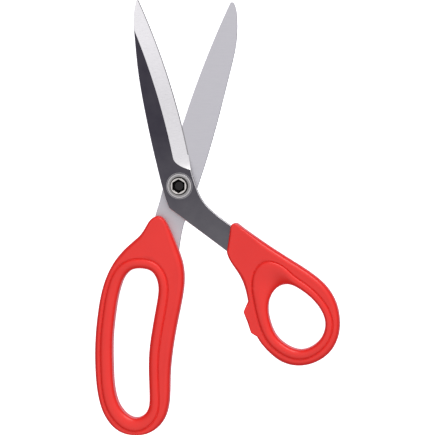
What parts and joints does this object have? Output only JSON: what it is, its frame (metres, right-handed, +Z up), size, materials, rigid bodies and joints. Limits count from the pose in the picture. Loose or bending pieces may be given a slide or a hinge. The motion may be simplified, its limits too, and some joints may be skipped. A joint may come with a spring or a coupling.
{
  "type": "fabric shears",
  "caption": "Bent-handle fabric shears, open and lying flat: two ground steel blades on an adjustable pivot, with moulded red thumb and finger handles.",
  "frame": {"origin": "on the pivot axis, in the plane that the screw head and both handles rest on", "axes": "+Z up along the pivot axis, +Y out between the open blades, +X towards the thumb handle's side"},
  "size_m": [0.1424, 0.2525, 0.0129],
  "materials": {
    "upper_blade_steel": "dark coated outer face with a bright cross-ground bevel",
    "lower_blade_steel": "bright ground inner face, dark coated outer face",
    "handle_plastic": "satin moulded plastic",
    "pivot_steel": "turned bright steel",
    "bearing_bronze": "plain sintered bronze",
    "nylon": "natural nylon"
  },
  "bodies": {
    "finger_half": {"lower_blade": "lower_blade_steel", "finger_handle": "handle_plastic", "pivot_screw": "pivot_steel", "bearing_washer": "bearing_bronze", "flat_washer": "pivot_steel", "disc_spring": "pivot_steel"},
    "thumb_half": {"upper_blade": "upper_blade_steel", "thumb_handle": "handle_plastic", "pivot_bush": "bearing_bronze"},
    "tension_nut": {"pivot_nut": "pivot_steel", "lock_ring": "nylon"}
  },
  "joints": [
    {"name": "blade_pivot", "type": "hinge", "parent": "finger_half", "child": "thumb_half", "pos_m": [0, 0, 0.006], "axis": [0, 0, 1], "range_deg": [-28, 85]},
    {"name": "tension_turn", "type": "hinge", "parent": "finger_half", "child": "tension_nut", "pos_m": [0, 0, 0.0115], "axis": [0, 0, 1], "range_deg": [-45, 45]}
  ]
}
